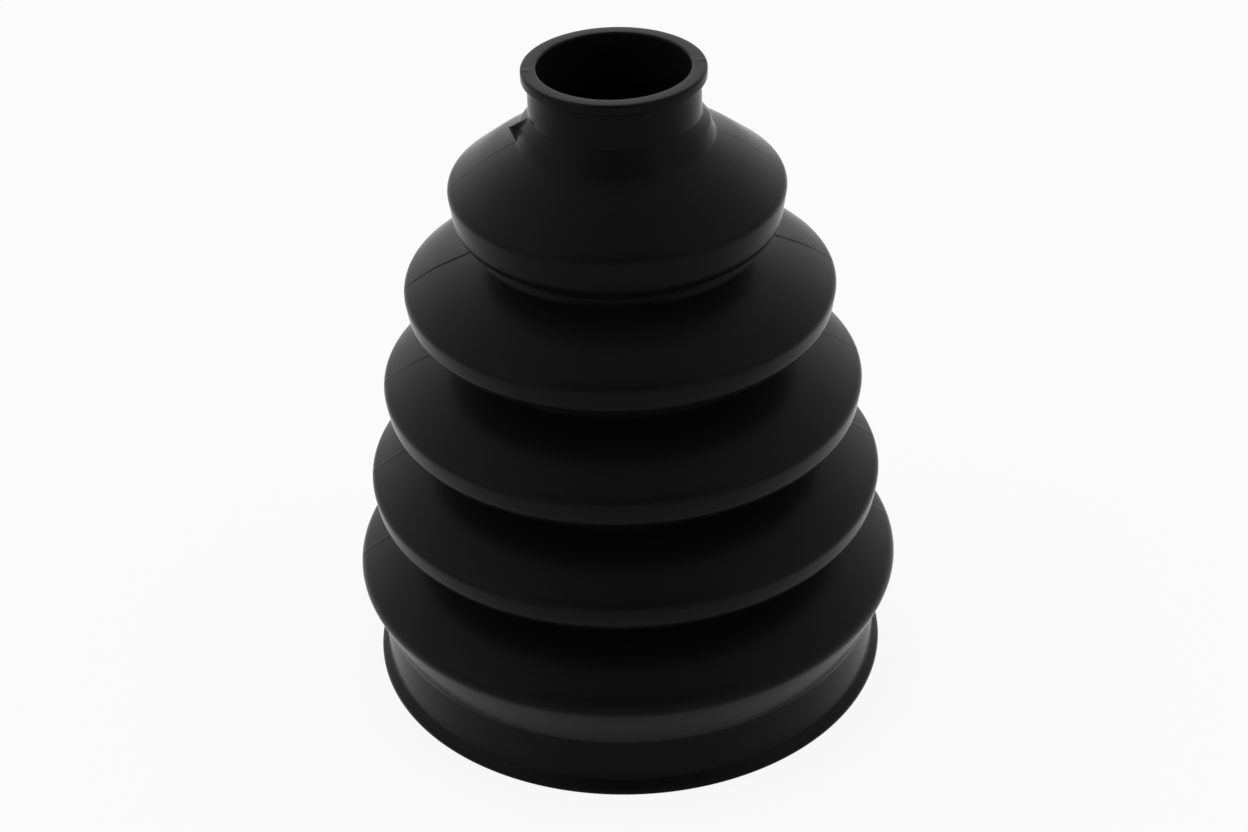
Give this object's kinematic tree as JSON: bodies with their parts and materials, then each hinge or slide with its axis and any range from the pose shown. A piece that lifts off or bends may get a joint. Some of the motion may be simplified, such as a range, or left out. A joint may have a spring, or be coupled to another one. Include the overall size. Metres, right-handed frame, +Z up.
{
  "type": "rubber bellows boot",
  "caption": "Black rubber bellows boot: a tapering folded sleeve with a narrow lipped neck and a wide grooved collar, each held by a clamp.",
  "frame": {"origin": "centre of the large end's face, on the axis, which is the surface the boot stands on", "axes": "+Z up the boot's axis, from the large end to the small end; X and Y are equivalent"},
  "size_m": [0.095, 0.095, 0.1132],
  "materials": {
    "rubber": "satin black moulded rubber"
  },
  "bodies": {
    "root": {"boot": "rubber"}
  },
  "joints": []
}
